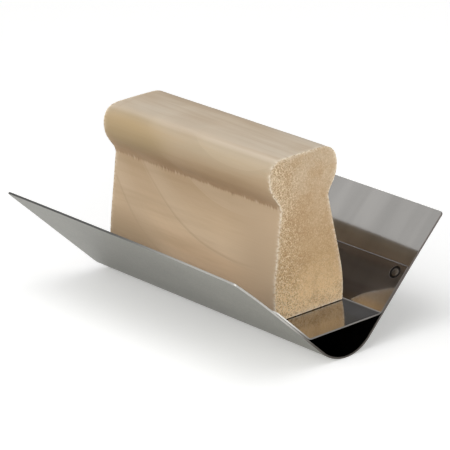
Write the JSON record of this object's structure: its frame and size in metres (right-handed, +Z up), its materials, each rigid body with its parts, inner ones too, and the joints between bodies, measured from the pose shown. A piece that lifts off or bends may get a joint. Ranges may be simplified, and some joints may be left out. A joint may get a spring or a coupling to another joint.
{
  "type": "inside corner trowel",
  "caption": "Plasterer's inside-corner trowel: V-folded steel blade with a rounded bend, spot-welded sheet bracket and a screwed-on moulded wooden handle.",
  "frame": {"origin": "lowest point of the blade's bend, at mid-length", "axes": "+X along the blade and the handle, +Z up through the handle, the two wings lean out to +Y and -Y"},
  "size_m": [0.14, 0.0998, 0.0749],
  "materials": {
    "blade_steel": "satin brushed stainless sheet",
    "bracket_steel": "bright rolled stainless sheet",
    "weld_steel": "heat-darkened weld mark",
    "screw_steel": "zinc-plated",
    "raw_wood": "raw, unvarnished, sanded on the long faces and sawn on the ends"
  },
  "bodies": {
    "root": {"blade": "blade_steel", "handle_bracket": "bracket_steel", "wooden_handle": "raw_wood", "handle_screw_front": "screw_steel", "handle_screw_rear": "screw_steel", "spot_weld_front_left": "weld_steel", "spot_weld_front_right": "weld_steel", "spot_weld_rear_left": "weld_steel", "spot_weld_rear_right": "weld_steel"}
  },
  "joints": []
}
